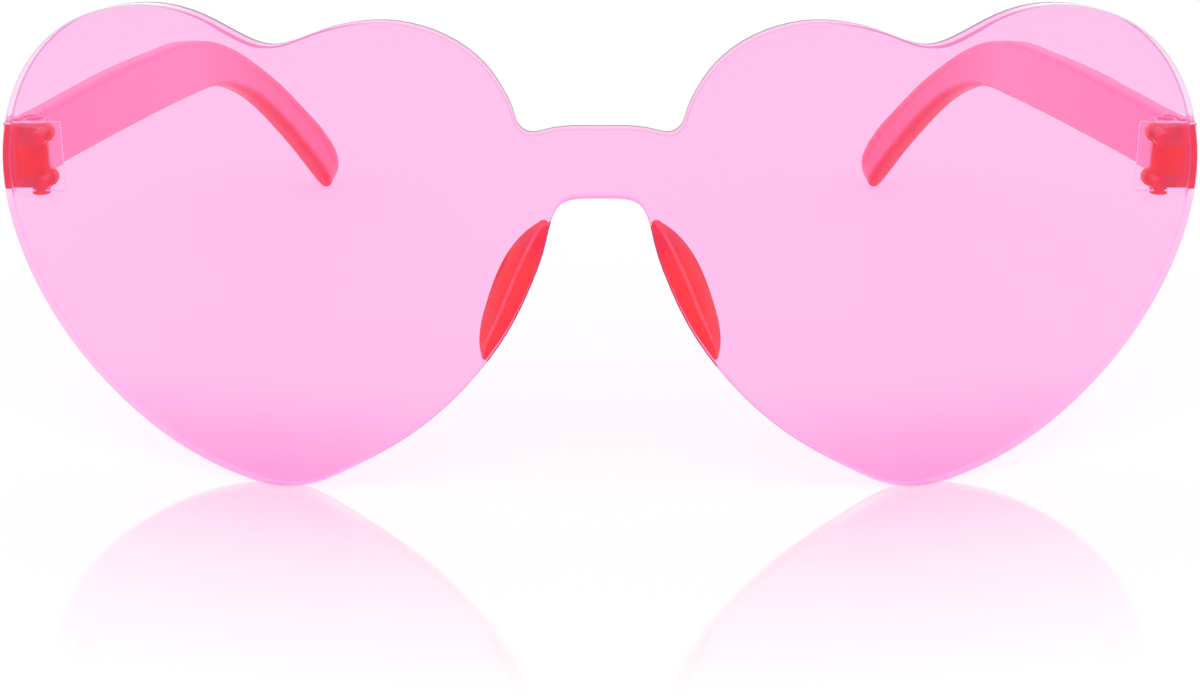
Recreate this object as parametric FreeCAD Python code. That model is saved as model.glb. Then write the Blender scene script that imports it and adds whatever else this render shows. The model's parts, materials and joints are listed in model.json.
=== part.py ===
import FreeCAD, Part
import math
import os
from FreeCAD import Base, Vector

# Heart shaped sunglasses in millimetres, open and standing on a table.
# +X is the wearer's left, +Y points back to the ears, +Z is up and z = 0 is the table top.
# Everything is drawn with the middle of the lens front at y = 0, for the wearer's left, and mirrored.
# At the end the whole part moves, so that its origin lies under the middle of its box.

# Lens: one sheet rolled about an upright axis, which carries both hearts and the bridge
lens_width = 148.0
lens_height = 58.8
lens_thickness = 2.0
wrap_radius = 150.0

# Half of the lens outline, as shares of the half width along the sheet and of the lens height
nose_arch_shares = ((0.0, 0.651), (0.039, 0.649), (0.058, 0.639), (0.068, 0.621))
nose_edge_shares = ((0.081, 0.560), (0.1027, 0.475), (0.1325, 0.390), (0.188, 0.281))
heart_point_shares = ((0.292, 0.145), (0.3985, 0.054), (0.470, 0.0095), (0.523, 0.0), (0.576, 0.011))
outer_edge_shares = ((0.677, 0.057), (0.792, 0.148), (0.909, 0.298), (0.9726, 0.439), (1.0, 0.617))
outer_lobe_shares = ((0.983, 0.735), (0.921, 0.869), (0.837, 0.953), (0.744, 0.994), (0.661, 1.0))
heart_notch_shares = ((0.585, 0.973), (0.495, 0.934), (0.428, 0.962))
inner_lobe_shares = ((0.3735, 0.983), (0.319, 0.991), (0.2675, 0.983), (0.217, 0.958), (0.163, 0.9005))
bridge_side_shares = ((0.141, 0.856), (0.129, 0.820), (0.121, 0.7915), (0.1065, 0.779))
bridge_shares = ((0.0795, 0.784), (0.0, 0.791))
blend_points = 4

# Hinge seat: a clear wedge bonded behind each outer end of the lens, thinnest at that end
seat_width = 6.2
seat_height = 9.0
seat_end_depth = 2.1
hinge_height = 37.4

# Hinge leaf: a moulded plate on the seat, with two pegs, two knuckles and a boss under the lower one
hinge_inset = 2.3
leaf_width = 5.6
leaf_outer_reach = 3.7
leaf_height = 8.2
leaf_thickness = 1.2
peg_radius = 0.9
peg_length = 3.4
peg_spacing = 5.7
peg_clearance = 0.03
ear_radius = 1.15
ear_inset = 0.3
knuckle_radius = 1.5
knuckle_clearance = 0.15
lower_knuckle_height = 1.2
middle_knuckle_height = 4.0
knuckle_gap = 0.1
boss_radius = 1.1
boss_height = 1.4

# Hinge screw: slotted head sunk in the upper knuckle, thread rings in the lower half
screw_radius = 0.7
screw_clearance = 0.05
thread_depth = 0.1
thread_pitch = 0.35
thread_length = 3.2
screw_head_radius = 1.0
screw_head_height = 0.85
screw_slot_width = 0.3
screw_slot_depth = 0.35
screw_end_gap = 0.2
screw_sink = 0.8

# Temple: a bar that runs back, bends down behind the ear and curls in towards the head.
# Its course is that of its lower edge, seen from the side, and its height stands on that edge.
temple_root_height = 8.0
temple_height = 8.8
swell_length = 40.0
temple_thickness = 3.2
temple_root_drop = 3.7
temple_start_slope = math.radians(3.0)
temple_run = 76.0
temple_run_radius = 1800.0
ear_bend_slope = math.radians(40.0)
ear_bend_radius = 46.0
tip_sweep_radius = 105.0
neck_height = 5.7
tip_height = 6.3
tip_thickness = 4.4
tip_round = 7.0
tip_round_power = 2.5
tip_end_share = 0.3
tip_lift = 0.05
taper_start = 60.0
taper_length = 38.0
spread_length = 20.0
toe_in = math.radians(5.8)
curl_start = 72.0
curl_radius = 112.0
open_stop_gap = 0.1
corner_share = 0.3
tip_corner_share = 0.36
temple_sections = 18
tip_round_shares = (0.0, 0.35, 0.6, 0.8, 0.93, 1.0)

# Nose pad: a blade along the nose edge, bonded to the back of the lens and flared away from the nose
pad_top = 34.8
pad_length = 17.0
pad_overhang = 0.25
pad_depth = 6.6
pad_flare = math.radians(22.0)
pad_root_width = 2.1
pad_rim_width = 1.3
pad_upper_shares = ((0.0, 0.26), (0.1, 0.58), (0.25, 0.86), (0.45, 1.0))
pad_lower_shares = ((0.65, 1.0), (0.85, 0.72), (0.95, 0.39), (1.0, 0.13))

# Spare length of cutting solids past the faces that they cut, how near counts as touching,
# and how often a search halves its range
overrun = 1.0
near = 0.001
halvings = 40

# Places that follow from the sizes
half_angle = math.asin(lens_width / 2 / wrap_radius)
half_arc = wrap_radius * half_angle
back_radius = wrap_radius - lens_thickness
lens_end_x = back_radius * math.sin(half_angle)


def back_of_lens(x):
    """Depth of the rear face of the lens at a distance x from the middle."""
    return wrap_radius - math.sqrt(back_radius ** 2 - x ** 2)


seat_rear_y = back_of_lens(lens_end_x) + seat_end_depth
leaf_rear_y = seat_rear_y + leaf_thickness
hinge_x = lens_end_x - hinge_inset
ear_bend_length = ear_bend_radius * (ear_bend_slope - temple_start_slope - temple_run / temple_run_radius)
hinge_y = leaf_rear_y + knuckle_clearance + knuckle_radius
leaf_outer_x = hinge_x + leaf_outer_reach
leaf_inner_x = leaf_outer_x - leaf_width
leaf_bottom_z = hinge_height - leaf_height / 2
leaf_top_z = hinge_height + leaf_height / 2
screw_top_z = leaf_top_z - screw_sink
boss_bottom_z = leaf_bottom_z - boss_height
lower_knuckle_z = leaf_bottom_z + lower_knuckle_height
middle_bottom_z = lower_knuckle_z + knuckle_gap
middle_top_z = middle_bottom_z + middle_knuckle_height
upper_knuckle_z = middle_top_z + knuckle_gap
peg_x = leaf_inner_x + ear_inset
peg_heights = (hinge_height - peg_spacing / 2, hinge_height + peg_spacing / 2)


def block(x_from, x_to, y_from, y_to, z_from, z_to):
    """Box between two corners."""
    return Part.makeBox(x_to - x_from, y_to - y_from, z_to - z_from, Vector(x_from, y_from, z_from))


def post(x, y, z_from, z_to, radius):
    """Upright round bar."""
    return Part.makeCylinder(radius, z_to - z_from, Vector(x, y, z_from))


def rod(x, z, y_from, y_to, radius):
    """Round bar along the depth."""
    return Part.makeCylinder(radius, y_to - y_from, Vector(x, y_from, z), Vector(0, 1, 0))


def space_behind_lens():
    """Solid that fills the roll of the lens, up to its rear face."""
    return post(0, wrap_radius, -overrun, lens_height + overrun, back_radius)


def sheet_point(shares):
    """Point on the flat sheet from its shares along and up."""
    return Base.Vector2d(shares[0] * half_arc, shares[1] * lens_height)


def flat_outline():
    """Half of the lens outline on the flat sheet, from the nose arch round to the bridge."""
    shares = nose_arch_shares + nose_edge_shares + heart_point_shares + outer_edge_shares
    shares += outer_lobe_shares + heart_notch_shares + inner_lobe_shares + bridge_side_shares + bridge_shares
    half = [sheet_point(pair) for pair in shares]
    other_half = [Base.Vector2d(-point.x, point.y) for point in half]
    # the curve runs on into the other half at both ends, so that it crosses the middle level
    before = other_half[blend_points:0:-1]
    after = other_half[-2:-2 - blend_points:-1]
    outline = Part.Geom2d.BSplineCurve2d()
    outline.interpolate(Points=before + half + after)
    outline.segment(outline.parameter(half[0]), outline.parameter(half[-1]))
    return outline


def rolled_edge(outline, radius, side):
    """One half of the outline as an edge on a sheet that is rolled at a radius."""
    sheet = Part.Cylinder()
    sheet.Center = Vector(0, wrap_radius, 0)
    sheet.Radius = radius
    front_angle = 1.5 * math.pi
    poles = [Base.Vector2d(front_angle + side * pole.x / wrap_radius, pole.y) for pole in outline.getPoles()]
    counts = outline.getMultiplicities()
    rolled = Part.Geom2d.BSplineCurve2d()
    rolled.buildFromPolesMultsKnots(poles, counts, outline.getKnots(), False, outline.Degree)
    return rolled.toShape(sheet)


def make_lens():
    """Rolled sheet, parted along the outline by walls that stand square to it."""
    outline = flat_outline()
    walls = []
    for side in (1, -1):
        outside = rolled_edge(outline, wrap_radius + overrun, side)
        inside = rolled_edge(outline, back_radius - overrun, side)
        walls.append(Part.makeRuledSurface(outside, inside))
    roll = post(0, wrap_radius, -overrun, lens_height + overrun, wrap_radius).cut(space_behind_lens())
    reach = lens_width / 2 + overrun
    sheet = roll.common(block(-reach, reach, -overrun, wrap_radius, -overrun, lens_height + overrun))
    bridge_height = lens_height * (nose_arch_shares[0][1] + bridge_shares[-1][1]) / 2
    bridge_middle = Vector(0, lens_thickness / 2, bridge_height)
    parted, sources = sheet.generalFuse(walls)
    return next(solid for solid in parted.Solids if solid.isInside(bridge_middle, near, False))


def make_seat():
    """Clear wedge between the rolled back of the lens and the flat hinge leaf, with two peg holes."""
    bottom_z = hinge_height - seat_height / 2
    top_z = hinge_height + seat_height / 2
    wedge = block(lens_end_x - seat_width, lens_end_x, 0, seat_rear_y, bottom_z, top_z)
    seat = wedge.common(space_behind_lens())
    for z in peg_heights:
        hole_bottom = seat_rear_y - peg_length - peg_clearance
        seat = seat.cut(rod(peg_x, z, hole_bottom, seat_rear_y + overrun, peg_radius + peg_clearance))
    return seat


def make_leaf():
    """Plate with pegged ears in front and two bored knuckles behind."""
    leaf = block(leaf_inner_x, leaf_outer_x, seat_rear_y, leaf_rear_y, leaf_bottom_z, leaf_top_z)
    for z in peg_heights:
        ear = rod(peg_x, z, seat_rear_y, leaf_rear_y, ear_radius)
        peg = rod(peg_x, z, seat_rear_y - peg_length, leaf_rear_y, peg_radius)
        leaf = leaf.fuse([ear, peg])
    for z_from, z_to in ((leaf_bottom_z, lower_knuckle_z), (upper_knuckle_z, leaf_top_z)):
        web = block(hinge_x - knuckle_radius, hinge_x + knuckle_radius, seat_rear_y, hinge_y, z_from, z_to)
        leaf = leaf.fuse([web, post(hinge_x, hinge_y, z_from, z_to, knuckle_radius)])
    leaf = leaf.fuse(post(hinge_x, hinge_y, boss_bottom_z, lower_knuckle_z, boss_radius)).removeSplitter()
    above = leaf_top_z + overrun
    bore = post(hinge_x, hinge_y, boss_bottom_z - overrun, above, screw_radius + screw_clearance)
    head_radius = screw_head_radius + screw_clearance
    head_room = post(hinge_x, hinge_y, screw_top_z - screw_head_height, above, head_radius)
    return leaf.cut([bore, head_room])


def make_screw():
    """Turned screw with a slotted head, drawn as half of its section and spun."""
    end_z = boss_bottom_z + screw_end_gap
    seat_z = screw_top_z - screw_head_height
    section = [Vector(0, 0, end_z)]
    rings = int(thread_length / thread_pitch)
    for ring in range(rings):
        root_z = end_z + ring * thread_pitch
        section.append(Vector(screw_radius - thread_depth, 0, root_z))
        section.append(Vector(screw_radius, 0, root_z + thread_pitch / 2))
    section.append(Vector(screw_radius, 0, seat_z))
    section.append(Vector(screw_head_radius, 0, seat_z))
    section.append(Vector(screw_head_radius, 0, screw_top_z))
    section.append(Vector(0, 0, screw_top_z))
    section.append(section[0])
    screw = Part.Face(Part.makePolygon(section)).revolve(Vector(), Vector(0, 0, 1), 360)
    half_slot = screw_slot_width / 2
    slot_reach = screw_head_radius + overrun
    slot_bottom = screw_top_z - screw_slot_depth
    slot = block(-slot_reach, slot_reach, -half_slot, half_slot, slot_bottom, leaf_top_z)
    screw = screw.cut(slot)
    screw.translate(Vector(hinge_x, hinge_y, 0))
    return screw


def course(distance):
    """Depth, height and downward slope of the temple's lower edge at a distance from the hinge."""
    y = hinge_y
    z = hinge_height - temple_root_drop
    slope = temple_start_slope
    left = distance
    for length, radius in ((temple_run, temple_run_radius), (ear_bend_length, ear_bend_radius)):
        step = min(left, length)
        y, z, slope = along_arc(y, z, slope, step, radius)
        left -= step
    return along_arc(y, z, slope, left, tip_sweep_radius)


def along_arc(y, z, slope, length, radius):
    """Where a downward arc in the side view comes to."""
    end = slope + length / radius
    back = radius * (math.sin(end) - math.sin(slope))
    down = radius * (math.cos(slope) - math.cos(end))
    return y + back, z - down, end


def plan_x(y):
    """Middle of the temple in plan: toed in from the hinge, then curled in towards the head."""
    back = y - hinge_y
    curled = max(0, back - curl_start)
    return hinge_x + temple_thickness / 2 - back * math.tan(toe_in) - curled ** 2 / (2 * curl_radius)


def plan_slope(y):
    """How fast the middle of the temple comes in towards the head."""
    return math.tan(toe_in) + max(0, y - hinge_y - curl_start) / curl_radius


def eased(distance, start, length):
    """Smooth step from 0 to 1 over a length of the temple."""
    share = min(1, max(0, (distance - start) / length))
    return share ** 2 * (3 - 2 * share)


def temple_section(distance, scale=1):
    """Rounded section square to the temple's course."""
    y, z, slope = course(distance)
    swell = eased(distance, 0, swell_length) * (temple_height - temple_root_height)
    taper = eased(distance, taper_start, taper_length)
    spread = eased(distance, taper_start + taper_length, spread_length) * (tip_height - neck_height)
    height = temple_root_height + swell + taper * (neck_height - temple_height) + spread
    half_height = scale * height / 2
    half_width = scale * (temple_thickness + taper * (tip_thickness - temple_thickness)) / 2
    corner = 2 * half_width * (corner_share + taper * (tip_corner_share - corner_share))
    course_way = Vector(-plan_slope(y) * math.cos(slope), math.cos(slope), -math.sin(slope)).normalize()
    across = course_way.cross(Vector(0, 0, 1)).normalize()
    up = across.cross(course_way)
    middle = Vector(plan_x(y), y, z) + up * half_height

    def at(a, b):
        return middle + across * a + up * b

    edges = []
    inner_width = half_width - corner
    inner_height = half_height - corner
    turned = corner / math.sqrt(2)
    for a, b in ((1, 1), (-1, 1), (-1, -1), (1, -1)):
        side_point = at(a * half_width, b * inner_height)
        turn_point = at(a * (inner_width + turned), b * (inner_height + turned))
        end_point = at(a * inner_width, b * half_height)
        if a != b:
            side_point, end_point = end_point, side_point
        edges.append((side_point, turn_point, end_point))
    wire = []
    for index, (first, turn, last) in enumerate(edges):
        wire.append(Part.Arc(first, turn, last).toShape())
        wire.append(Part.LineSegment(last, edges[(index + 1) % len(edges)][0]).toShape())
    return Part.Wire(wire)


def make_temple():
    """Lofted bar, cleared round the leaf's knuckles and joined to its own bored knuckle."""
    tip_drop = course(temple_run + ear_bend_length)[1] - tip_lift
    tip_slope = math.acos(math.cos(ear_bend_slope) - tip_drop / tip_sweep_radius)
    tip_length = tip_sweep_radius * (tip_slope - ear_bend_slope)
    lead = -2 * knuckle_radius
    round_start = temple_run + ear_bend_length + tip_length - tip_round
    step = (round_start - lead) / (temple_sections - 1)
    sections = [temple_section(lead + index * step) for index in range(temple_sections)]
    end_sections = []
    for share in tip_round_shares:
        rounded = (1 - share ** tip_round_power) ** (1 / tip_round_power)
        scale = tip_end_share + (1 - tip_end_share) * rounded
        end_sections.append(temple_section(round_start + share * tip_round, scale))
    bar = Part.makeLoft(sections, True, False).fuse(Part.makeLoft(end_sections, True, False))

    front_y = leaf_rear_y + open_stop_gap
    wide = lens_width + overrun
    far = wrap_radius + lens_width
    temple = bar.common(block(0, wide, front_y, far, -overrun, lens_height))
    cleared = knuckle_radius + knuckle_clearance
    for z_from, z_to in ((-overrun, middle_bottom_z), (middle_top_z, lens_height)):
        swing = post(hinge_x, hinge_y, z_from, z_to, cleared)
        mouth = block(0, hinge_x + cleared, 0, hinge_y, z_from, z_to)
        temple = temple.cut([swing, mouth])
    knuckle = post(hinge_x, hinge_y, middle_bottom_z, middle_top_z, knuckle_radius)
    bore = post(hinge_x, hinge_y, 0, lens_height, screw_radius + screw_clearance)
    return temple.fuse(knuckle).removeSplitter().cut(bore)


def nose_edge(outline, z):
    """Place along the sheet where the nose edge of the lens passes a height."""
    low = outline.parameter(sheet_point(nose_arch_shares[0]))
    high = outline.parameter(sheet_point(heart_point_shares[-1]))
    for halving in range(halvings):
        middle = (low + high) / 2
        if outline.value(middle).y > z:
            low = middle
        else:
            high = middle
    return outline.value(low).x


def make_nose_pad():
    """Blade lofted through level sections, each set a little past the nose edge of the lens."""
    outline = flat_outline()
    sections = []
    for share, fullness in pad_upper_shares + pad_lower_shares:
        z = pad_top - share * pad_length
        edge_x = back_radius * math.sin(nose_edge(outline, z) / wrap_radius) - pad_overhang
        root_y = back_of_lens(edge_x) - lens_thickness / 2
        rim_y = back_of_lens(edge_x) + pad_depth * fullness
        lean = pad_depth * fullness * math.tan(pad_flare)
        root_width = pad_root_width * math.sqrt(fullness)
        rim_width = pad_rim_width * math.sqrt(fullness)
        rim_radius = rim_width / 2
        root_nose = Vector(edge_x, root_y, z)
        rim_nose = Vector(edge_x + lean, rim_y - rim_radius, z)
        rim_back = Vector(edge_x + lean + rim_radius, rim_y, z)
        rim_outer = Vector(edge_x + lean + rim_width, rim_y - rim_radius, z)
        root_outer = Vector(edge_x + root_width, root_y, z)
        sections.append(Part.Wire([
            Part.LineSegment(root_nose, rim_nose).toShape(),
            Part.Arc(rim_nose, rim_back, rim_outer).toShape(),
            Part.LineSegment(rim_outer, root_outer).toShape(),
            Part.LineSegment(root_outer, root_nose).toShape(),
        ]))
    blade = Part.makeLoft(sections, True, False)
    return blade.common(space_behind_lens())


def main():
    """Build the pieces, set the origin and write one file for each piece."""
    pieces = {"lens": make_lens()}
    makers = {
        "hinge_seat": make_seat,
        "hinge_leaf": make_leaf,
        "hinge_screw": make_screw,
        "temple": make_temple,
        "nose_pad": make_nose_pad,
    }
    for name, make in makers.items():
        left = make()
        pieces[name + "_left"] = left
        pieces[name + "_right"] = left.mirror(Vector(), Vector(1, 0, 0))
    depth = pieces["temple_left"].optimalBoundingBox(False).YMax
    foot = pieces["lens"].optimalBoundingBox(False).ZMin
    os.makedirs("parts", exist_ok=True)
    for name, shape in pieces.items():
        shape.translate(Vector(0, -depth / 2, -foot))
        box = shape.optimalBoundingBox(False)
        print(f"{name}: {len(shape.Solids)} solid, {shape.Volume:.2f} mm3, valid {shape.isValid()},",
              f"x {box.XMin:.2f} {box.XMax:.2f},",
              f"y {box.YMin:.2f} {box.YMax:.2f},",
              f"z {box.ZMin:.2f} {box.ZMax:.2f}")
        shape.exportStep(f"parts/{name}.step")
    print(f"hinge axis at x {hinge_x:.3f}, y {hinge_y - depth / 2:.3f}, depth {depth:.3f}")


main()
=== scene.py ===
# %% [markdown]
# Heart shaped sunglasses, dressed in Blender.
# The glasses have one clear pink lens sheet cut as two joined hearts, coral temples on small screw
# hinges, and coral nose pads. The solids of the frame give every place and size. This lesson gives
# each solid its moulded edges and its see-through plastic, and then sets up the light and the camera.

# %% Load the frame
import json
import math
import bmesh
import bpy
from mathutils import Matrix, Vector
from mathutils.bvhtree import BVHTree

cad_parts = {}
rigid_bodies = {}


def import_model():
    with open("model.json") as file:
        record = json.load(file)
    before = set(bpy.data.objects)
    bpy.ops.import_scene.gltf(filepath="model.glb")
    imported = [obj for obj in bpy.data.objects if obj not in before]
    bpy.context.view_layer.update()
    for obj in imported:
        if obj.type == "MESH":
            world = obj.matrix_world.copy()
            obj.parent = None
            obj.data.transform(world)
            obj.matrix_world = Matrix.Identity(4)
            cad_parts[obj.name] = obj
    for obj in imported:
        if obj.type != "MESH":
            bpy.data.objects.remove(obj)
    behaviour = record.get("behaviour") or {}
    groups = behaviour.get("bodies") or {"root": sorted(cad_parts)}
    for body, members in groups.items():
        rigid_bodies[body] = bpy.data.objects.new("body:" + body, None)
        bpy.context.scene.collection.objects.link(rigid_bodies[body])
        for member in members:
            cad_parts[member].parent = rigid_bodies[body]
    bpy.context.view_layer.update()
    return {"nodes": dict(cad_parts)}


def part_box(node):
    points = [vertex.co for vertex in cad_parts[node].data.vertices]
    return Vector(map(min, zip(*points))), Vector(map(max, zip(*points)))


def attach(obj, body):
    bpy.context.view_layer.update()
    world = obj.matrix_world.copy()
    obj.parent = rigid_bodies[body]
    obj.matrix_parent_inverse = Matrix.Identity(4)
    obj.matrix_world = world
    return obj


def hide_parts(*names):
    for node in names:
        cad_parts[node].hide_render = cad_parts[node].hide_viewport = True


for leftover in list(bpy.data.objects):
    bpy.data.objects.remove(leftover)
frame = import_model()
mm = 0.001
sides = ("left", "right")


def in_mm(corner, digits):
    """A place in millimetres, rounded for print."""
    return [round(c / mm, digits) for c in corner]


# %% [markdown]
# Every piece starts as a copy of its solid or as a bmesh of its own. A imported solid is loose
# triangles, so its doubles are merged before anything else is done to the copy.

# %% Helpers for pieces
weld = 0.0001 * mm
sharp = math.radians(30)


def copy_of(node):
    """A bmesh of a solid of the frame, with its triangles joined up."""
    shape = bmesh.new()
    shape.from_mesh(frame["nodes"][node].data)
    bmesh.ops.remove_doubles(shape, verts=shape.verts, dist=weld)
    return shape


def sharp_edges(shape, angle):
    """The edges where two faces meet at more than an angle."""
    return [edge for edge in shape.edges if edge.is_manifold and edge.calc_face_angle() > angle]


def add_piece(name, shape, node, body, materials):
    """Turn a bmesh into a piece that stands for a node, moves with a body and has its finishes."""
    for face in shape.faces:
        face.smooth = True
    for edge in sharp_edges(shape, sharp):
        edge.smooth = False
    mesh = bpy.data.meshes.new(name)
    shape.to_mesh(mesh)
    shape.free()
    for material in materials:
        mesh.materials.append(material)
    piece = bpy.data.objects.new(name, mesh)
    bpy.context.scene.collection.objects.link(piece)
    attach(piece, body)
    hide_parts(node)
    print(name, "has", len(mesh.polygons), "faces")
    return piece


# %% [markdown]
# Shader nodes are made in code here, so a few small helpers keep that short. One makes a node with
# its settings and plain values, and one joins sockets in pairs. The others make what is needed most
# often: the larger of two values, a product, a mix of two shaders and an empty group.

# %% Helpers for nodes
def add_node(tree, kind, settings=None, values=None):
    """A shader node of a kind, with its settings and its plain input values."""
    node = tree.nodes.new("ShaderNode" + kind)
    for name, setting in (settings or {}).items():
        setattr(node, name, setting)
    for name, value in (values or {}).items():
        node.inputs[name].default_value = value
    return node


def join(tree, *pairs):
    """Join an output to an input, pair by pair."""
    for start, end in pairs:
        tree.links.new(start, end)


def either(tree, first, second):
    """The larger of two outputs: for two masks, 1 where one of them is 1."""
    larger = add_node(tree, "Math", {"operation": "MAXIMUM"})
    join(tree, (first, larger.inputs[0]), (second, larger.inputs[1]))
    return larger.outputs["Value"]


def times(tree, first, second):
    """The product of two outputs."""
    product = add_node(tree, "Math", {"operation": "MULTIPLY"})
    join(tree, (first, product.inputs[0]), (second, product.inputs[1]))
    return product.outputs["Value"]


def mixed(tree, share, first, second):
    """Two shaders in one, with a share of the second."""
    mix = add_node(tree, "MixShader")
    join(tree, (share, mix.inputs["Fac"]), (first, mix.inputs[1]), (second, mix.inputs[2]))
    return mix.outputs["Shader"]


def new_group(name, inputs, outputs):
    """An empty shader node group with named sockets."""
    group = bpy.data.node_groups.new(name, "ShaderNodeTree")
    for label, kind in inputs:
        group.interface.new_socket(name=label, in_out="INPUT", socket_type="NodeSocket" + kind)
    for label, kind in outputs:
        group.interface.new_socket(name=label, in_out="OUTPUT", socket_type="NodeSocket" + kind)
    return group, group.nodes.new("NodeGroupInput").outputs, group.nodes.new("NodeGroupOutput").inputs


# %% [markdown]
# Moulded plastic is never quite even: the melt leaves faint flow clouds, and the polish varies.
# Every finish here shares one node group for that. It takes two tints and two roughnesses and mixes
# each pair with its own noise on the object's coordinates, so the pattern keeps its real size.

# %% Shared flow clouds
def make_flow_clouds():
    """Group that clouds a tint and a polish."""
    inputs = (("Place", "Vector"), ("Cloud Scale", "Float"), ("Pale Tint", "Color"), ("Deep Tint", "Color"),
              ("Smooth", "Float"), ("Dull", "Float"))
    group, given, wanted = new_group("flow_clouds", inputs, (("Tint", "Color"), ("Roughness", "Float")))
    clouds = add_node(group, "TexNoise", None, {"Detail": 3, "Distortion": 0.6})
    tint = add_node(group, "Mix", {"data_type": "RGBA"})
    polish = add_node(group, "TexNoise", None, {"Scale": 420, "Detail": 4})
    dullness = add_node(group, "MapRange")
    join(group, (given["Place"], clouds.inputs["Vector"]), (given["Cloud Scale"], clouds.inputs["Scale"]),
         (clouds.outputs["Fac"], tint.inputs["Factor"]), (given["Pale Tint"], tint.inputs["A"]),
         (given["Deep Tint"], tint.inputs["B"]), (given["Place"], polish.inputs["Vector"]),
         (polish.outputs["Fac"], dullness.inputs["Value"]), (given["Smooth"], dullness.inputs["To Min"]),
         (given["Dull"], dullness.inputs["To Max"]), (tint.outputs["Result"], wanted["Tint"]),
         (dullness.outputs["Result"], wanted["Roughness"]))
    return group


flow_clouds = make_flow_clouds()
print("node group", flow_clouds.name)

# %% [markdown]
# A bar of tinted plastic looks pale through its broad sides and deep along its edges, where light
# has crossed more of it, and a moulding deepens towards its thick end. One mask finds the faces that
# look a given way, from the object's own normal, and a second one grows along a given way. The
# glasses are the same left and right, so the second mask counts x from the middle to either side.

# %% Shared depth of tint
def make_tint_depth():
    """Group that is 1 on faces that look one way, and grows along another way between two places."""
    inputs = (("Normal", "Vector"), ("Edge Way", "Vector"), ("Place", "Vector"), ("Run Way", "Vector"),
              ("Start", "Float"), ("End", "Float"), ("Growth", "Float"))
    group, given, wanted = new_group("tint_depth", inputs, (("Mask", "Float"),))
    along = {"operation": "DOT_PRODUCT"}
    smooth = {"interpolation_type": "SMOOTHSTEP"}
    facing = add_node(group, "VectorMath", along)
    edge = add_node(group, "MapRange", smooth, {"From Min": 0.1, "From Max": 0.6})
    split = add_node(group, "SeparateXYZ")
    aside = add_node(group, "Math", {"operation": "ABSOLUTE"})
    folded = add_node(group, "CombineXYZ")
    reach = add_node(group, "VectorMath", along)
    run = add_node(group, "MapRange", smooth)
    join(group, (given["Normal"], facing.inputs[0]), (given["Edge Way"], facing.inputs[1]),
         (facing.outputs["Value"], edge.inputs["Value"]), (given["Place"], split.inputs["Vector"]),
         (split.outputs["X"], aside.inputs[0]), (aside.outputs["Value"], folded.inputs["X"]),
         (split.outputs["Y"], folded.inputs["Y"]), (split.outputs["Z"], folded.inputs["Z"]),
         (folded.outputs["Vector"], reach.inputs[0]), (given["Run Way"], reach.inputs[1]),
         (reach.outputs["Value"], run.inputs["Value"]), (given["Start"], run.inputs["From Min"]),
         (given["End"], run.inputs["From Max"]), (given["Growth"], run.inputs["To Max"]))
    join(group, (either(group, edge.outputs["Result"], run.outputs["Result"]), wanted["Mask"]))
    return group


tint_depth = make_tint_depth()
print("node group", tint_depth.name)

# %% [markdown]
# A material starts as a Principled shader, clouded by the first group. The second group then lays
# zones of deeper tint over it, one after the other. Both could be drawn as images, but nodes on the
# object's coordinates need no unwrapping and stay sharp at any size.

# %% Tints and zones
to_top = (0, 0, 1)
to_foot = (0, 0, -1)
to_outside = (1, 0, 0)
to_middle = (-1, 0, 0)
to_back = (0, 1, 0)
nowhere = (0, 0, 0)


def solid_colour(colour):
    """A colour with full alpha."""
    return (*colour, 1)


def new_material(name):
    """A material with its node tree and its Principled shader."""
    material = bpy.data.materials.new(name)
    material.use_nodes = True
    return material, material.node_tree, material.node_tree.nodes["Principled BSDF"]


def show(tree, shader):
    """Make a shader the surface of its material."""
    join(tree, (shader, tree.nodes["Material Output"].inputs["Surface"]))


def add_clouds(tree, surface, pale, deep, polish, cloud_scale):
    """Cloud a shader's roughness, and give back the place node and the clouded tint."""
    place = add_node(tree, "TexCoord")
    clouds = add_node(tree, "Group", {"node_tree": flow_clouds},
                      {"Cloud Scale": cloud_scale, "Pale Tint": solid_colour(pale),
                       "Deep Tint": solid_colour(deep), "Smooth": polish[0], "Dull": polish[1]})
    join(tree, (place.outputs["Object"], clouds.inputs["Place"]),
         (clouds.outputs["Roughness"], surface.inputs["Roughness"]))
    return place, clouds.outputs["Tint"]


def deeper(tint, edge_way=nowhere, run_way=nowhere, start=0, end=1, growth=1):
    """A deeper tint and its zone: the faces that look along the edge way, and a run along a way.

    Start and end count along the run way, so they are negative on a way to the foot or the middle.
    """
    return tint, {"Edge Way": edge_way, "Run Way": run_way, "Start": start, "End": end, "Growth": growth}


def deepen(tree, place, tint, depth):
    """Lay a deeper tint over a tint, in its zone."""
    deep_tint, zone = depth
    mask = add_node(tree, "Group", {"node_tree": tint_depth}, zone)
    mix = add_node(tree, "Mix", {"data_type": "RGBA"}, {"B": solid_colour(deep_tint)})
    join(tree, (place.outputs["Normal"], mask.inputs["Normal"]),
         (place.outputs["Object"], mask.inputs["Place"]),
         (mask.outputs["Mask"], mix.inputs["Factor"]), (tint, mix.inputs["A"]))
    return mix.outputs["Result"]


# %% [markdown]
# All the plastics are mouldings that let light through, so one function makes them. Shadow and
# diffuse rays go straight through in the plastic's tint, so that the lens throws a pink shadow and
# not a grey one. A ground face is dull from outside but clear to rays that come from inside, or the
# sheet would turn dark from behind. The table mirrors the lens and not the temples, as in the photo,
# so a plastic can also let every ray pass that has met a mirror.

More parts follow.
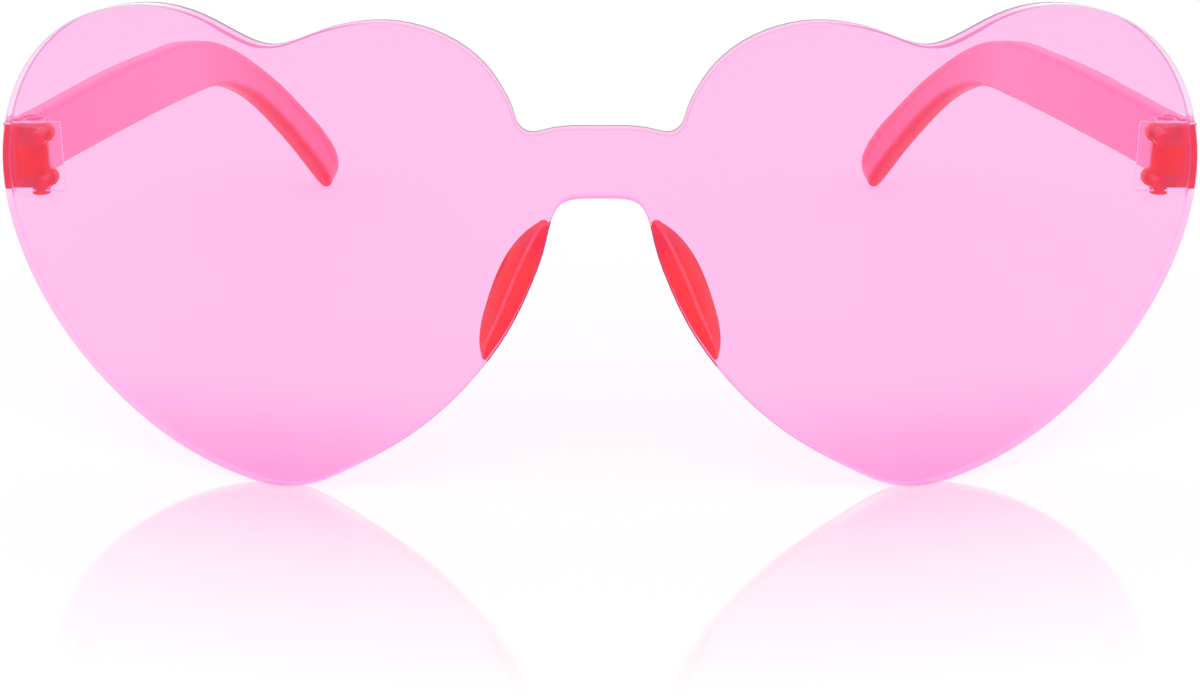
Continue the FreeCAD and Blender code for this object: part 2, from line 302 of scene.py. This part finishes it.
# %% Clear plastics
def clear_plastic(name, pale, deep, clarity, polish, cloud_scale=60, ior=1.4, shine=0.5, coat=0, glow=0,
                  depths=(), mirrored=True, ground=False):
    """A moulding that lets light through, with its clouds and its zones of deeper tint."""
    material, tree, surface = new_material(name)
    place, tint = add_clouds(tree, surface, pale, deep, polish, cloud_scale)
    for depth in depths:
        tint = deepen(tree, place, tint, depth)
    join(tree, (tint, surface.inputs["Base Color"]))
    surface.inputs["IOR"].default_value = ior
    surface.inputs["Specular IOR Level"].default_value = shine
    surface.inputs["Coat Weight"].default_value = coat
    # A glow is painted light: it makes a surface shine with no lamp.
    surface.inputs["Emission Strength"].default_value = glow
    surface.inputs["Transmission Weight"].default_value = clarity
    # A ray crosses two walls of a moulding, so each one takes the root of the tint
    one_wall = [math.sqrt((a + b) / 2) for a, b in zip(pale, deep)]
    straight = add_node(tree, "BsdfTransparent", None, {"Color": solid_colour(one_wall)})
    rays = add_node(tree, "LightPath")
    passing = either(tree, rays.outputs["Is Shadow Ray"], rays.outputs["Is Diffuse Ray"])
    if ground:
        wall = add_node(tree, "NewGeometry")
        passing = either(tree, passing, wall.outputs["Backfacing"])
        join(tree, (tint, straight.inputs["Color"]))
    shader = mixed(tree, passing, surface.outputs["BSDF"], straight.outputs["BSDF"])
    if not mirrored:
        nothing = add_node(tree, "BsdfTransparent")
        shader = mixed(tree, rays.outputs["Glossy Depth"], shader, nothing.outputs["BSDF"])
    show(tree, shader)
    return material


# %% [markdown]
# The lens is polished and tinted in the melt. It looks deeper towards its foot, so a deeper tint runs
# down it: painted shadow, for the pink shadow that the lens throws on the table behind it, seen
# through the sheet. One even tint could do, but the hearts would look flat.

# %% Lens finish
# Painted shadow: the foot of the lens is tinted deeper for its own pink shadow on the table behind.
lens_foot_painted_shadow = deeper((1.0, 0.38, 0.74), run_way=to_foot, start=-15 * mm, end=1 * mm)
lens_plastic = clear_plastic("lens_plastic", (1.0, 0.545, 0.85), (1.0, 0.525, 0.835), clarity=1,
                             polish=(0.0, 0.008), cloud_scale=12, ior=1.3, depths=(lens_foot_painted_shadow,))
print("finish", lens_plastic.name)

# %% [markdown]
# The cut rim of the sheet is ground and not polished, so it is dull. It glows with light from inside
# the sheet: pink along its top and the inner sides of the hearts, nearly white at the upper outer
# corners. Thin darker lines follow its front and back edges. Tracing light inside the sheet could
# give both, but only with very many rays, so here the glow is painted light in the tints of the wall,
# and the lines are painted shade in tints of their own on each edge.

# %% Rim finishes
upper_outer = {"run_way": (1, 0, 1), "start": 104 * mm, "end": 112 * mm}
inner_side = {"run_way": to_middle, "start": -32 * mm, "end": -25 * mm}
beside_hinge = {"run_way": (0.87, 0.493, 0.109), "start": 41.03 * mm, "end": 41.53 * mm}
# Painted light: the glow of the rim wall, pink on top and on the inner sides, near white at the upper outer
# corners.
rim_painted_glow = (deeper((1.0, 0.48, 0.75), run_way=to_top, start=40 * mm, end=46 * mm),
             deeper((1.0, 0.5, 0.76), **inner_side),
             deeper((1.0, 0.97, 0.99), **upper_outer),
             deeper((1.0, 0.85, 1.0), **beside_hinge))
rim_plastic = clear_plastic("rim_plastic", (1.0, 0.78, 0.92), (1.0, 0.72, 0.9), clarity=0.2,
                            polish=(0.2, 0.4), ior=1.3, depths=rim_painted_glow, ground=True)


def edge_line(name, pale, deep, depths=()):
    """Dull finish of a thin line along an edge of the rim, in a painted tint of shade or of a part seen
    through it.
    """
    return clear_plastic(name, pale, deep, clarity=0, polish=(0.4, 0.6), shine=0.1, depths=depths)


# Painted shade: the edge lines are darker, most along the top; beside the hinge the back edge is painted
# with the red of the leaf seen through it.
front_edge_painted_shade = (deeper((0.72, 0.24, 0.48), run_way=to_top, start=46 * mm, end=48 * mm),
                    deeper((0.7, 0.52, 0.66), **upper_outer),
                    deeper((0.8, 0.42, 0.66), **inner_side))
back_edge_painted_shade = (deeper((0.44, 0.24, 0.38), run_way=to_top, start=41 * mm, end=44 * mm),
                   deeper((0.76, 0.64, 0.74), **upper_outer),
                   deeper((0.72, 0.1, 0.21), **beside_hinge))
front_edge_shade_plastic = edge_line("front_edge_shade_plastic", (1.0, 0.56, 0.86), (0.97, 0.5, 0.82), front_edge_painted_shade)
back_edge_shade_plastic = edge_line("back_edge_shade_plastic", (1.0, 0.8, 0.95), (0.97, 0.74, 0.92), back_edge_painted_shade)
# Painted shade: a grey line along the back of the rim's top.
top_shade_line_plastic = edge_line("top_shade_line_plastic", (0.48, 0.32, 0.44), (0.43, 0.28, 0.39))
# Painted view: the dark red of the pad, as seen through the front edge in front of it.
pad_view_painted_plastic = edge_line("pad_view_painted_plastic", (0.6, 0.06, 0.16), (0.55, 0.05, 0.14))
print("rim wall with", len(rim_painted_glow), "zones, and four edge lines")

# %% [markdown]
# The seats are clear blocks behind the lens. They are bonded to it, so light hardly bends between the
# two, and only the bright edges round the rear face show; their brightness is a painted highlight that
# glows. The outer wall is ground like the rim. A free block would bend the view of the pegs much more
# than the photo shows.

# %% Seat finishes
bonded_ior = 1.005
seat_plastic = clear_plastic("seat_plastic", (1.0, 0.99, 1.0), (1.0, 0.97, 0.99), clarity=1,
                             polish=(0.0, 0.02), ior=bonded_ior, coat=0.2)
# Painted highlight: the polished edges glow a little, brighter than the light on them would make them.
polish_highlight_plastic = clear_plastic("polish_highlight_plastic", (1.0, 0.95, 0.99), (1.0, 0.9, 0.97), clarity=0.3,
                               polish=(0.2, 0.4), glow=0.28)
seat_wall_plastic = clear_plastic("seat_wall_plastic", (1.0, 0.8, 0.93), (1.0, 0.74, 0.9), clarity=0.5,
                                  polish=(0.2, 0.4), ior=bonded_ior, ground=True)
print("three finishes on a seat")

# %% [markdown]
# The temples are pink through their sides, deeper on top, and coral along their lower edge and
# towards the tail, where one looks through more of the bar. They are half clear: a fully clear bar
# would show its far edges, and the photo shows none.

# %% Temple finish
temple_top = deeper((1.0, 0.28, 0.52), edge_way=to_top)
temple_tail = deeper((0.9, 0.03, 0.07), edge_way=(0, -0.45, -0.45), run_way=to_back, start=15 * mm,
                     end=80 * mm, growth=0.4)
temple_plastic = clear_plastic("temple_plastic", (1.0, 0.41, 0.61), (1.0, 0.37, 0.575), clarity=0.5,
                               polish=(0.15, 0.3), shine=0.3, depths=(temple_top, temple_tail),
                               mirrored=False)
print("finish", temple_plastic.name)

# %% [markdown]
# The hinge leaves are small thick mouldings, coral red and deeper at the knuckles. Their top, which
# the light falls on, is painted paler as painted light. The zones follow the heights of the knuckles
# and the sides of the leaf.

# %% Hinge finishes
thick_coral = (0.84, 0.075, 0.11)
hinge_zones = (deeper(thick_coral, run_way=to_top, start=38.4 * mm, end=38.9 * mm),
               deeper(thick_coral, run_way=to_foot, start=-35.2 * mm, end=-34.7 * mm),
               deeper(thick_coral, run_way=to_outside, start=72.2 * mm, end=72.7 * mm),
               deeper((0.96, 0.07, 0.085), run_way=to_middle, start=-69.6 * mm, end=-69.0 * mm),
               deeper((0.97, 0.1, 0.16), run_way=to_foot, start=-33.4 * mm, end=-33.0 * mm))
hinge_plastic = clear_plastic("hinge_plastic", (0.97, 0.055, 0.04), (0.86, 0.02, 0.018), clarity=0.5,
                              polish=(0.05, 0.15), cloud_scale=900, shine=0.05, depths=hinge_zones)
# Painted light: a paler pink for the top of the leaf, where the light falls.
hinge_lit_top_plastic = clear_plastic("hinge_lit_top_plastic", (1.0, 0.5, 0.72), (1.0, 0.44, 0.68), clarity=0.3,
                                  polish=(0.2, 0.3), shine=0.2)
print("hinge leaf with", len(hinge_zones), "zones, and its paler top")

# %% [markdown]
# The nose pads are soft coral red plastic, nearly opaque. The face that is bonded to the lens is
# painted brighter, as painted light, since light reaches it only through the lens. They are deeper near
# their top, and pale streaks of painted highlight run along the root.

# %% Pad finishes
# Painted light: the face bonded to the lens is brighter, against the shade of being lit only through the
# lens.
pad_zones = (deeper((1.0, 0.095, 0.06), edge_way=(0, -0.6, 0)),
             deeper((0.83, 0.05, 0.08), run_way=to_top, start=30.2 * mm, end=32 * mm),
             deeper((0.95, 0.06, 0.075), run_way=to_top, start=33 * mm, end=34.3 * mm))
pad_plastic = clear_plastic("pad_plastic", (0.94, 0.052, 0.035), (0.9, 0.043, 0.031), clarity=0.1,
                            polish=(0.25, 0.4), shine=0.05, depths=pad_zones)
# Painted highlight: a paler tint on the rounded edges of the root, for the pale streaks.
pad_streak_highlight_plastic = clear_plastic("pad_streak_highlight_plastic", (1.0, 0.29, 0.21), (1.0, 0.23, 0.17), clarity=0.2,
                                 polish=(0.2, 0.35), shine=0.2)
print("pad with", len(pad_zones), "zones, and its pale streaks")

# %% [markdown]
# The hinge screws are turned steel. It is a metal with the same clouds, fine and dull, because a
# turned skin spreads the light. A bright mirror steel would stand out more than the photo shows.

# %% Screw finish
def turned_steel(name, pale, deep):
    """Bare metal with a dull turned skin."""
    material, tree, surface = new_material(name)
    tint = add_clouds(tree, surface, pale, deep, polish=(0.25, 0.45), cloud_scale=900)[1]
    join(tree, (tint, surface.inputs["Base Color"]))
    surface.inputs["Metallic"].default_value = 1
    return material


screw_steel = turned_steel("screw_steel_skin", (0.5, 0.46, 0.46), (0.36, 0.33, 0.33))
print(len(bpy.data.materials), "materials")

# %% [markdown]
# The lens is one sheet, cut out flat and then rolled. It is made here in the same order. The rim of
# the solid's front face is laid flat, a square grid fills its middle and triangles join the two, so
# that the sheet has enough faces to roll smoothly. It could be one solidified face, but long thin
# faces would show as streaks in clear plastic.

# %% Flat lens outline
roll_radius = 150 * mm
lens_thickness = 2 * mm
rim_band = 0.3 * mm
square_turn = math.radians(60)
lens_low, lens_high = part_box("lens")
roll_axis_y = lens_low.y + roll_radius


def from_axis(place):
    """How far a point lies from the upright axis that the lens is rolled about."""
    return math.hypot(place.x, roll_axis_y - place.y)


def laid_flat(place):
    """Where a point of the rolled sheet lies on the flat one."""
    return Vector((roll_radius * math.atan2(place.x, roll_axis_y - place.y), 0, place.z))


def rolled(place):
    """Where a point of the flat sheet comes to when it is rolled."""
    turn = place.x / roll_radius
    radius = roll_radius - place.y
    return Vector((radius * math.sin(turn), roll_axis_y - radius * math.cos(turn), place.z))


def flat_outline():
    """The front rim of the solid, laid flat and filled with one face that looks forward."""
    shape = copy_of("lens")
    rim = set()
    for edge in sharp_edges(shape, square_turn):
        if all(abs(from_axis(corner.co) - roll_radius) < rim_band / 2 for corner in edge.verts):
            rim.add(edge)
    others = [edge for edge in shape.edges if edge not in rim]
    bmesh.ops.delete(shape, geom=others, context="EDGES_FACES")
    loose = [corner for corner in shape.verts if not corner.link_edges]
    bmesh.ops.delete(shape, geom=loose, context="VERTS")
    for corner in shape.verts:
        corner.co = laid_flat(corner.co)
    sheet = bmesh.ops.edgeloop_fill(shape, edges=shape.edges)["faces"]
    if sheet[0].normal.y > 0:
        bmesh.ops.reverse_faces(shape, faces=sheet)
    print("lens rim has", len(shape.edges), "edges")
    return shape


# %% [markdown]
# A cut sheet has a small round along both edges of its rim. The outline is drawn in and brought
# forward in steps along a quarter circle, and the faces of the round get a finish of their own.
# A bevel of the finished sheet could do it, but it turns thin triangles over.

# %% Round of the rim
lens_finish = 0
wall_finish = 1
front_edge_finish = 2
back_edge_finish = 3
top_line_finish = 4
pad_line_finish = 5
rim_round = 0.2 * mm
rim_steps = 4


def draw_in(shape, sheet, inward, forward=0):
    """Draw the outline of a sheet in by an even width, and bring the sheet forward."""
    bmesh.ops.inset_region(shape, faces=sheet, thickness=inward, depth=forward, use_boundary=True,
                           use_even_offset=True)


def rounded_outline():
    """The outline face, brought forward inside a rounded edge."""
    shape = flat_outline()
    sheet = shape.faces[:]
    for corner in shape.verts:
        corner.co.y = rim_round
    turn = math.radians(90) / rim_steps
    for step in range(rim_steps):
        inward = rim_round * (math.cos(step * turn) - math.cos((step + 1) * turn))
        forward = rim_round * (math.sin((step + 1) * turn) - math.sin(step * turn))
        draw_in(shape, sheet, inward, forward)
    for face in shape.faces:
        face.material_index = lens_finish if face in sheet else front_edge_finish
    return shape, sheet


print("rim round of", round(rim_round / mm, 2), "mm in", rim_steps, "steps")

# %% [markdown]
# The grid keeps the squares that lie well inside the outline. To find them, a second outline is
# drawn in by a margin, and a ray from each grid corner tells whether it meets that smaller sheet.

# %% Fill of the lens
grid_step = 2 * mm
grid_margin = 1.6 * mm
backward = Vector((0, 1, 0))


def smaller_sheet():
    """A search tree of the outline, less the margin."""
    shape = flat_outline()
    sheet = shape.faces[:]
    draw_in(shape, sheet, grid_margin)
    bmesh.ops.delete(shape, geom=[face for face in shape.faces if face not in sheet], context="FACES")
    tree = BVHTree.FromBMesh(shape)
    shape.free()
    return tree


def squares_inside(shape):
    """Lay a square grid on the sheet and keep the squares inside its outline, less the margin."""
    half_width = laid_flat(lens_high).x
    half_height = (lens_high.z - lens_low.z) / 2
    to_place = Matrix.Translation((0, 0, lens_low.z + half_height))
    upright = Matrix.Rotation(math.radians(90), 4, "X")
    to_size = Matrix.Diagonal((half_width, half_height, 1, 1))
    grid = bmesh.ops.create_grid(shape, x_segments=round(2 * half_width / grid_step), size=1,
                                 y_segments=round(2 * half_height / grid_step),
                                 matrix=to_place @ upright @ to_size)["verts"]
    smaller = smaller_sheet()
    outside = [corner for corner in grid if smaller.ray_cast(corner.co - backward, backward)[0] is None]
    bmesh.ops.delete(shape, geom=outside, context="VERTS")
    return {corner for corner in grid if corner.is_valid}


def flat_sheet():
    """The rounded outline with a narrow band along it, a grid in its middle and triangles between."""
    shape, sheet = rounded_outline()
    grid = squares_inside(shape)
    draw_in(shape, sheet, rim_band)
    ring = list(sheet[0].edges)
    bmesh.ops.delete(shape, geom=sheet, context="FACES_ONLY")
    loose = [corner for corner in grid if not corner.link_faces]
    bmesh.ops.delete(shape, geom=loose, context="VERTS")
    ring += [edge for edge in shape.edges if edge.is_boundary and edge.verts[0] in grid]
    bmesh.ops.triangle_fill(shape, edges=ring, use_beauty=True, normal=(0, -1, 0))
    print("flat sheet has", len(shape.faces), "faces")
    return shape


# %% [markdown]
# The walls between front and back are the cut face of the rim. Two lines on the rim get a finish of
# their own: a grey line of painted shade along the back of its top, for which the wall is cut in two,
# and a dark red one on the front edge along each pad, a painted view of the pad that shows through
# there. Both could be thin pieces laid on, but faces of the sheet itself can't come loose from it.

# %% Lines on the rim
top_line = 0.5 * mm
top_line_from = 40 * mm
top_line_front = lens_thickness - rim_round - top_line
most_outward = 0.35
most_downward = 0.2
pad_margin = 1 * mm
pad_low, pad_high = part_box("nose_pad_left")


def looks_outward(face):
    """How much a face looks away from the middle of the glasses: 1 is straight to its side."""
    return face.normal.x * math.copysign(1, face.calc_center_median().x)


def on_top_line(face):
    """Whether a wall face of the flat sheet lies on the grey line along the back of the rim's top."""
    middle = face.calc_center_median()
    on_top = looks_outward(face) < most_outward and face.normal.z > -most_downward
    return on_top and middle.z > top_line_from and middle.y > top_line_front


def along_pad(face):
    """Whether a face of the flat sheet lies on the nose edge in front of a pad."""
    middle = face.calc_center_median()
    height = middle.z - pad_margin / 2
    return pad_low.z < height < pad_high.z and abs(middle.x) < pad_high.x + pad_margin


print("left pad in mm from", in_mm(pad_low, 1), "to", in_mm(pad_high, 1))

# %% [markdown]
# Now the flat sheet gets its back, as a mirror image of its front, and all of it is rolled. The
# finishes are marked while the sheet is still flat, where the walls are easy to find: they look
# neither forward nor back.

# %% Lens
wall_lean = math.sin(math.radians(5))


def make_lens():
    """The back of the sheet, its walls and the roll."""
    shape = flat_sheet()
    for part in bmesh.ops.extrude_face_region(shape, geom=shape.faces[:])["geom"]:
        if isinstance(part, bmesh.types.BMVert):
            part.co.y = lens_thickness - part.co.y
    bmesh.ops.recalc_face_normals(shape, faces=shape.faces)
    bmesh.ops.bisect_plane(shape, geom=shape.verts[:] + shape.edges[:] + shape.faces[:], dist=weld,
                           plane_co=backward * top_line_front, plane_no=backward)
    for face in shape.faces:
        if abs(face.normal.y) < wall_lean:
            face.material_index = top_line_finish if on_top_line(face) else wall_finish
        elif face.material_index == front_edge_finish and face.normal.y > 0:
            face.material_index = back_edge_finish
        elif face.material_index == front_edge_finish and along_pad(face):
            face.material_index = pad_line_finish
    for corner in shape.verts:
        corner.co = rolled(corner.co)
    return shape


lens = add_piece("lens_sheet", make_lens(), "lens", "front",
                 (lens_plastic, rim_plastic, front_edge_shade_plastic, back_edge_shade_plastic, top_shade_line_plastic,
                  pad_view_painted_plastic))
lowest, highest = lens.bound_box[0], lens.bound_box[6]
print("lens box in mm", in_mm(lowest, 2), in_mm(highest, 2))

# %% [markdown]
# The other mouldings are copies of their solids. A real mould leaves no knife edges, so the flat
# faces are joined up again, and edges that catch the light are rounded. The seats and the pads are
# bonded to the lens. Two faces in one place would flicker, so the visible ones stand off by a glue
# line that is far too thin to see.

# %% Moulded edges
glue_line = 0.03 * mm
round_steps = 2
flat_turn = math.radians(0.5)
corner_turn = math.radians(50)
back_radius = roll_radius - lens_thickness


def round_edges(shape, edges, round_size, finish=0, clamp=True):
    """Round some edges of a shape, and give their faces a finish."""
    made = bmesh.ops.bevel(shape, geom=edges, offset=round_size, segments=round_steps, profile=0.5,
                           affect="EDGES", clamp_overlap=clamp, material=-1)
    for face in made["faces"]:
        face.material_index = finish


def moulded(node):
    """A copy of a solid with its flat faces joined up."""
    shape = copy_of(node)
    bmesh.ops.dissolve_limit(shape, angle_limit=flat_turn, verts=shape.verts, edges=shape.edges)
    return shape


def mended(shape):
    """Close up faces that have no width, and edges where more than two faces meet."""
    bmesh.ops.remove_doubles(shape, verts=shape.verts, dist=weld)
    bmesh.ops.collapse(shape, edges=[edge for edge in shape.edges if not edge.is_manifold])
    return shape


def on_lens(corner):
    """Whether a corner lies on the back of the lens."""
    return from_axis(corner.co) > back_radius - glue_line


def bonded(edge):
    """Whether an edge lies on the back of the lens."""
    return all(on_lens(corner) for corner in edge.verts)


def off_the_lens(shape):
    """Draw the bonded face back from the lens by the glue line."""
    for corner in shape.verts:
        if on_lens(corner):
            inward = Vector((-corner.co.x, roll_axis_y - corner.co.y, 0)).normalized()
            corner.co += inward * glue_line
    return shape


print("bonded faces stand off by", round(glue_line / mm, 2), "mm")

# %% [markdown]
# A seat is a clear wedge block between the sloping lens and the flat hinge leaf. The edges round its
# rear face are polished and carry a glowing painted highlight, and the wall that looks outward is
# ground. The other edges stay sharp, because rounds at the peg holes would show as rings through the
# clear block.

# %% Seats
polish_highlight_finish = 1
seat_wall_finish = 2
seat_round = 0.16 * mm
wall_outward = 0.9


def make_seat(side):
    """Clear block with polished edges round its rear face, which carry a painted highlight."""
    shape = moulded("hinge_seat_" + side)
    rear = max(corner.co.y for corner in shape.verts)
    top = max(corner.co.z for corner in shape.verts)
    bottom = min(corner.co.z for corner in shape.verts)
    inner = min(abs(corner.co.x) for corner in shape.verts)
    rear_edges = []
    for edge in sharp_edges(shape, corner_turn):
        middle = (edge.verts[0].co + edge.verts[1].co) / 2
        border = min(top - middle.z, middle.z - bottom, abs(middle.x) - inner)
        if middle.y > rear - glue_line and border < glue_line:
            rear_edges.append(edge)
    round_edges(shape, rear_edges, seat_round, polish_highlight_finish)
    for face in shape.faces:
        if face.material_index == 0 and looks_outward(face) > wall_outward:
            face.material_index = seat_wall_finish
    for corner in shape.verts:
        if corner.co.y > rear - glue_line:
            corner.co.y -= glue_line
    return off_the_lens(shape)


print("polished edges have a round of", round(seat_round / mm, 2), "mm")

# %% [markdown]
# A hinge leaf is a plate with two pegs into the seat and two knuckles round the screw. All its edges
# get a fine round, because its walls are thin. The faces that look up are paler with painted light, and
# so is the recess over the screw's head, where the paler tint paints over its shade. The screw is small
# and hidden, so a plain copy is enough.

# %% Hinge leaves and screws
hinge_lit_top_finish = 1
leaf_round = 0.06 * mm
recess_margin = 0.12 * mm
level_face = math.cos(math.radians(2))
knuckle_wall = 1.5 * mm
least_upward = 0.2


def make_leaf(side):
    """Hinge plate with pegs and knuckles, with painted light on its top and in the screw's recess."""
    shape = moulded("hinge_leaf_" + side)
    round_edges(shape, sharp_edges(shape, corner_turn), leaf_round)
    screw_low, screw_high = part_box("hinge_screw_" + side)
    axis = (screw_low + screw_high) / 2
    recess = (screw_high.x - screw_low.x) / 2 + recess_margin
    # Painted light on the faces that look up and in the recess over the screw.
    for face in shape.faces:
        middle = face.calc_center_median()
        aside = math.hypot(middle.x - axis.x, middle.y - axis.y)
        above = middle.z > screw_high.z
        in_recess = middle.z > screw_high.z - recess_margin and aside < recess
        on_knuckle = above and aside < recess + knuckle_wall and face.normal.z > least_upward
        if in_recess or on_knuckle or (above and face.normal.z > level_face):
            face.material_index = hinge_lit_top_finish
    return shape


for side in sides:
    add_piece("seat_moulding_" + side, make_seat(side), "hinge_seat_" + side, "front",
              (seat_plastic, polish_highlight_plastic, seat_wall_plastic))
    add_piece("hinge_moulding_" + side, make_leaf(side), "hinge_leaf_" + side, "front",
              (hinge_plastic, hinge_lit_top_plastic))
    add_piece("screw_turned_" + side, copy_of("hinge_screw_" + side), "hinge_screw_" + side, "front",
              (screw_steel,))

# %% [markdown]
# A temple is one bar with a knuckle at its front and the ear hook at its back. Its solid is rounded
# already, so the copy is only mended. It rides on its own body and turns about the hinge screw. A
# nose pad is a soft blade along the nose edge of the lens, a little fuller over its middle than its
# solid. The pale streaks on its root are painted highlights: a wide round on the outer edge and a
# narrow one on the nose edge, both in a pale painted tint. On the right pad the narrow one comes out
# with no width and is merged away. Stripes of colour could stand for them, but a round also catches the
# light.

# %% Temples and pads
streak_highlight_finish = 1
outer_streak = 0.3 * mm
nose_streak = 0.08 * mm
pad_swell = 0.45 * mm
swell_foot = 22 * mm
swell_top = 35.5 * mm


def swollen(shape):
    """Swell the outer flank of a pad over its middle, along the back of the lens."""
    shape.normal_update()
    for corner in shape.verts:
        side_sign = math.copysign(1, corner.co.x)
        outward = max(0, corner.normal.x * side_sign)
        rise = min(1, max(0, (corner.co.z - swell_foot) / (swell_top - swell_foot)))
        push = side_sign * pad_swell * outward * math.sin(math.pi * rise) ** 2
        radius = from_axis(corner.co)
        turn = math.atan2(corner.co.x, roll_axis_y - corner.co.y) + push / radius
        corner.co.x = radius * math.sin(turn)
        corner.co.y = roll_axis_y - radius * math.cos(turn)
    return shape


def make_pad(side):
    """Soft blade with pale streaks of painted highlight along its root, wide on the outer side."""
    shape = swollen(moulded("nose_pad_" + side))
    nose_edges = []
    outer_edges = []
    for edge in sharp_edges(shape, corner_turn):
        flank = max(edge.link_faces, key=lambda face: face.normal.y)
        on_outer_flank = flank.normal.x * edge.verts[0].co.x > 0
        if bonded(edge):
            (outer_edges if on_outer_flank else nose_edges).append(edge)
    round_edges(shape, outer_edges, outer_streak, streak_highlight_finish, clamp=False)
    # The first round can rebuild edges on the nose side, and those stay sharp
    left_over = [edge for edge in nose_edges if edge.is_valid]
    round_edges(shape, left_over, nose_streak, streak_highlight_finish)
    return mended(off_the_lens(shape))


for side in sides:
    add_piece("temple_moulding_" + side, mended(copy_of("temple_" + side)), "temple_" + side,
              side + "_temple", (temple_plastic,))
    add_piece("pad_moulding_" + side, make_pad(side), "nose_pad_" + side, "front",
              (pad_plastic, pad_streak_highlight_plastic))

# %% [markdown]
# The glasses stand on a white table in a white room. What the camera sees of the room, straight,
# through glass or in a mirror, is plain white; the light that falls on the object is a little less.
# The table is polished in front of the lens and its gloss fades towards the camera. A gloss all over
# would also mirror the room behind the glasses, which the photo doesn't show.

# %% Floor paint
floor_white = 0.95
floor_roughness = 0.6
white_share = 0.5
mirror_share = 0.56
mirror_roughness = 0.06
mirror_fade = 48 * mm


def background_rays(tree):
    """1 for the rays that show the background: camera, glossy and transmission rays."""
    rays = add_node(tree, "LightPath")
    straight_or_mirrored = either(tree, rays.outputs["Is Camera Ray"], rays.outputs["Is Glossy Ray"])
    return either(tree, straight_or_mirrored, rays.outputs["Is Transmission Ray"])


def mirror_gloss(tree):
    """How much the table mirrors: most along the front of the lens, none behind or far ahead of it."""
    place = add_node(tree, "TexCoord")
    reach = add_node(tree, "VectorMath", {"operation": "DISTANCE"}, {1: (0, roll_axis_y, 0)})
    fading = add_node(tree, "MapRange", None,
                      {"From Min": roll_radius, "From Max": roll_radius + mirror_fade,
                       "To Min": mirror_share, "To Max": 0})
    lens_foot_line = add_node(tree, "MapRange", None, {"From Min": back_radius, "From Max": roll_radius})
    parts = add_node(tree, "SeparateXYZ")
    ahead = add_node(tree, "Math", {"operation": "LESS_THAN"}, {1: 0})
    join(tree, (place.outputs["Object"], reach.inputs[0]), (reach.outputs["Value"], fading.inputs["Value"]),
         (reach.outputs["Value"], lens_foot_line.inputs["Value"]),
         (place.outputs["Object"], parts.inputs["Vector"]), (parts.outputs["Y"], ahead.inputs[0]))
    ring = times(tree, fading.outputs["Result"], lens_foot_line.outputs["Result"])
    return times(tree, ring, ahead.outputs["Value"])


def make_floor_paint():
    """White paint, part of it plain white to the camera, with a mirror gloss in front of the lens."""
    material, tree, surface = new_material("floor_paint")
    surface.inputs["Base Color"].default_value = (floor_white, floor_white, floor_white, 1)
    surface.inputs["Roughness"].default_value = floor_roughness
    surface.inputs["Specular IOR Level"].default_value = 0
    plain = add_node(tree, "Emission")
    share = add_node(tree, "Math", {"operation": "MULTIPLY"}, {1: white_share})
    join(tree, (background_rays(tree), share.inputs[0]))
    paint = mixed(tree, share.outputs["Value"], surface.outputs["BSDF"], plain.outputs["Emission"])
    mirror = add_node(tree, "BsdfGlossy", None, {"Color": (1, 1, 1, 1), "Roughness": mirror_roughness})
    show(tree, mixed(tree, mirror_gloss(tree), paint, mirror.outputs["BSDF"]))
    return material


# %% [markdown]
# The table itself is one large square.

# %% Floor
floor_reach = 3.0
floor_shape = bmesh.new()
bmesh.ops.create_grid(floor_shape, x_segments=1, y_segments=1, size=floor_reach)
floor_mesh = bpy.data.meshes.new("floor")
floor_shape.to_mesh(floor_mesh)
floor_shape.free()
floor_mesh.materials.append(make_floor_paint())
floor = bpy.data.objects.new("floor", floor_mesh)
bpy.context.scene.collection.objects.link(floor)
print("floor is", 2 * floor_reach, "m wide")

# %% [markdown]
# The room lights the glasses from all sides, and one large soft lamp in front and above gives the
# faint shadow behind them. A small lamp would make a hard shadow, and the photo has none.

# %% World and lamp
room_light = 0.95
lamp_width = 1.4
lamp_height = 1.0
lamp_power = 4.5
lamp_reach = 0.9
world = bpy.data.worlds.new("white_room")
bpy.context.scene.world = world
world.use_nodes = True
room = world.node_tree.nodes["Background"]
room.inputs["Color"].default_value = (1, 1, 1, 1)
level = add_node(world.node_tree, "MapRange", None, {"To Min": room_light, "To Max": 1})
join(world.node_tree, (background_rays(world.node_tree), level.inputs["Value"]),
     (level.outputs["Result"], room.inputs["Strength"]))

lamp_light = bpy.data.lights.new("soft_lamp", "AREA")
lamp_light.shape = "RECTANGLE"
lamp_light.size = lamp_width
lamp_light.size_y = lamp_height
lamp_light.energy = lamp_power
lamp = bpy.data.objects.new("soft_lamp", lamp_light)
lamp.location = (0, -lamp_reach, lamp_reach)
lamp.rotation_euler = (math.radians(45), 0, 0)
bpy.context.scene.collection.objects.link(lamp)
print("room light", room_light, "and one soft lamp of", lamp_power, "W")

# %% [markdown]
# The camera stands where it stood for the picture: 23 cm in front of the lens, looking down at it by
# 20 degrees. So near, the lens looks large beside the tails of the temples, as in the photo.

# %% Camera
camera_distance = 230 * mm
camera_height = 103.6 * mm
look_down = 20.006
sensor_width = 36
focal_length = 62.39
camera_view = bpy.data.cameras.new("camera")
camera_view.sensor_width = sensor_width
camera_view.lens = focal_length
camera_view.clip_start = 10 * mm
camera = bpy.data.objects.new("camera", camera_view)
camera.location = (0, lens_low.y - camera_distance, camera_height)
camera.rotation_euler = (math.radians(90 - look_down), 0, 0)
bpy.context.scene.collection.objects.link(camera)
bpy.context.scene.camera = camera
bpy.context.scene.view_settings.view_transform = "Standard"
print("camera at", [round(c, 3) for c in camera.location])
